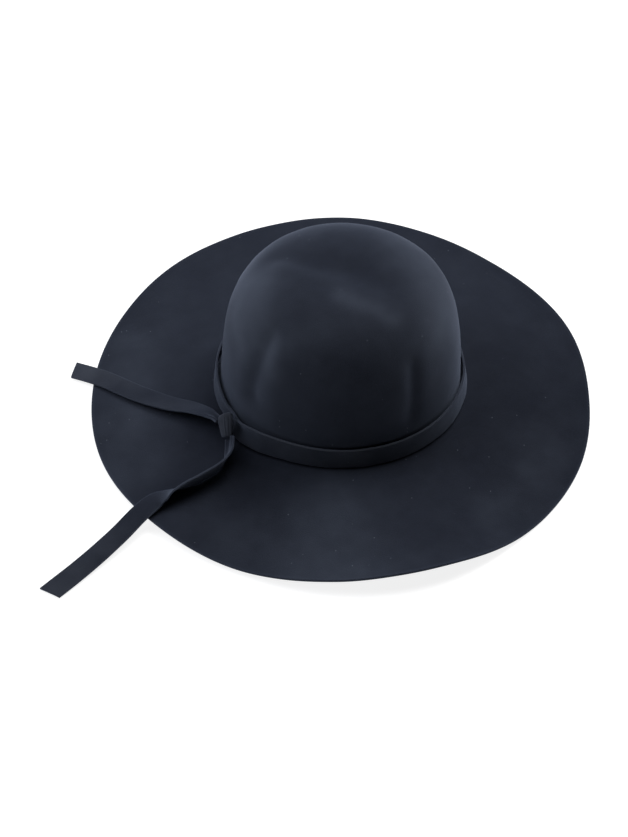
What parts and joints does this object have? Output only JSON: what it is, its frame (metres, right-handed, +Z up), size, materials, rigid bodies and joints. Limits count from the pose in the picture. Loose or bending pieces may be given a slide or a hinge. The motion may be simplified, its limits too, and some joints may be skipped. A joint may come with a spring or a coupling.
{
  "type": "wide-brim felt hat",
  "caption": "Soft felt hat with a tall round crown, a wide wavy brim and a narrow felt band tied in a side knot with two flat ends.",
  "frame": {"origin": "middle of the bounding box, at the height of the surface that the brim rests on", "axes": "+Z up through the crown, +X along the hat's long axis, +Y away from the side where the lower end of the band lies; the knot is at the near left, at -X and -Y"},
  "size_m": [0.4155, 0.4003, 0.1408],
  "materials": {
    "felt_body": "blocked wool felt, very dark navy, matt with a short soft nap",
    "hat_band": "flat strip of thin wool felt, near-black navy, cut edges",
    "band_knot": "the same felt strip, gathered in the knot",
    "tail_upper": "the same felt strip, cut edges",
    "tail_lower": "the same felt strip, cut edges"
  },
  "bodies": {
    "root": {"felt_body": "felt_body", "hat_band": "hat_band", "band_knot": "band_knot", "tail_upper": "tail_upper", "tail_lower": "tail_lower"}
  },
  "joints": []
}
